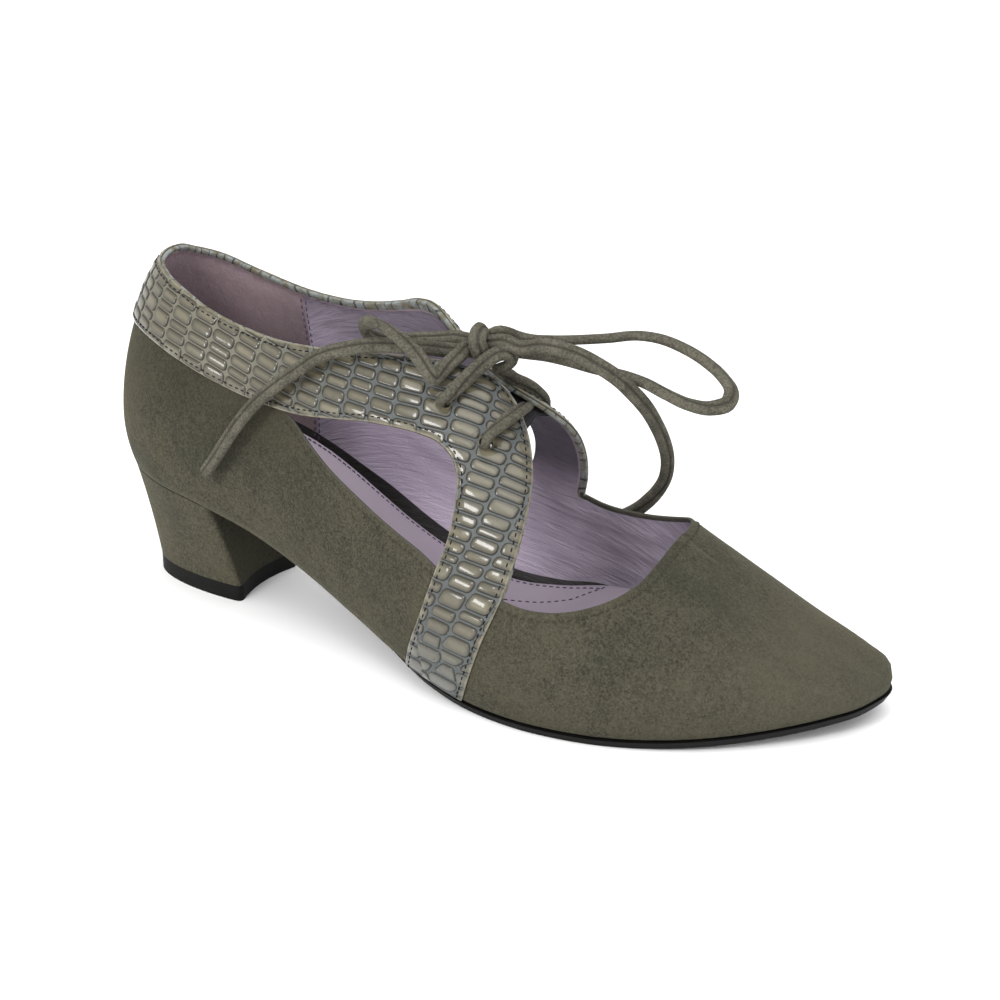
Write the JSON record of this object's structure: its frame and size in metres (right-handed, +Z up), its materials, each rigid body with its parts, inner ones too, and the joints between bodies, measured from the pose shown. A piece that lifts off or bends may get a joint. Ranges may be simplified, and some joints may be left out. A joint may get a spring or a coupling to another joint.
{
  "type": "high heel shoe",
  "caption": "Right suede pump with a low block heel, almond toe, open throat, side cut-outs and a reptile-grain collar band whose straps tie over the instep with a lace bow.",
  "frame": {"origin": "on the floor plane under the middle of the shoe's length and width, without the bow", "axes": "+X from heel to toe, +Y towards the inner side of the foot, +Z up"},
  "size_m": [0.24, 0.0875, 0.1044],
  "materials": {
    "olive_suede": "matt napped suede",
    "reptile_leather": "glossy embossed scales",
    "black_sole": "satin black",
    "lavender_leather": "soft satin lining leather",
    "black_elastic": "woven elastic",
    "suede_lace": "matt suede cord"
  },
  "bodies": {
    "root": {"upper": "olive_suede", "heel": "olive_suede", "band": "reptile_leather", "outsole": "black_sole", "top_lift": "black_sole", "insole": "lavender_leather", "elastic_gore": "black_elastic", "lace_crossing": "suede_lace", "lace_bar": "suede_lace", "lace_knot": "suede_lace", "lace_loop_left": "suede_lace", "lace_loop_right": "suede_lace", "lace_end_left": "suede_lace", "lace_end_right": "suede_lace"}
  },
  "joints": []
}
